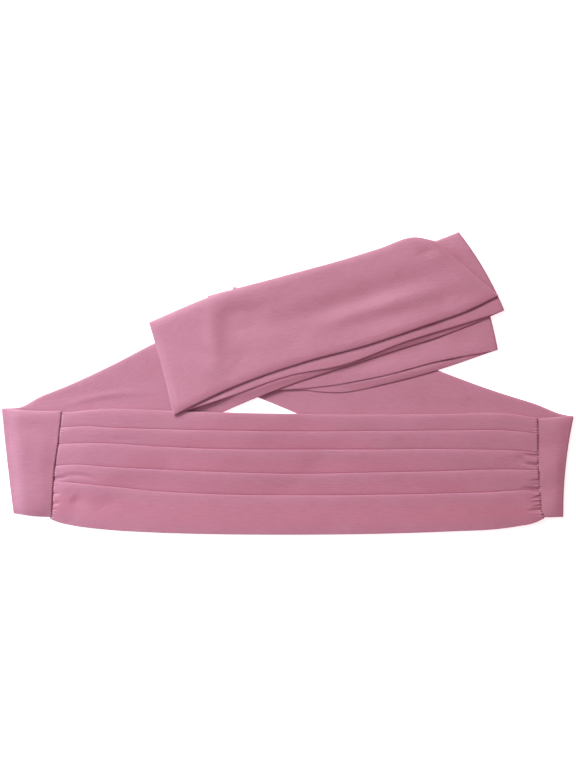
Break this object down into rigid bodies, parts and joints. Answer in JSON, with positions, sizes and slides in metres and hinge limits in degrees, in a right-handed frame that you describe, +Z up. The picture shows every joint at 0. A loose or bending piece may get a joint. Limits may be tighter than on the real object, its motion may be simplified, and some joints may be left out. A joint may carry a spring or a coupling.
{
  "type": "chiffon tie belt",
  "caption": "Chiffon tie belt laid flat: a pleated front panel gathered at its ends, with long sash ties folded into a layered bundle above it.",
  "frame": {"origin": "middle of the belt's footprint, on the surface that it lies on", "axes": "+X along the front panel towards its right end as seen from above, +Y from the panel's hem towards the folded ties, +Z up from the surface"},
  "size_m": [0.6005, 0.318, 0.0101],
  "materials": {
    "chiffon": "matte crepe chiffon, dusty pink"
  },
  "bodies": {
    "root": {"front_panel": "chiffon", "tie_left_end": "chiffon", "tie_left_rise": "chiffon", "tie_left_back": "chiffon", "tie_left_top": "chiffon", "tie_right_end": "chiffon", "tie_right_rise": "chiffon", "tie_right_return": "chiffon", "tie_right_under": "chiffon"}
  },
  "joints": []
}
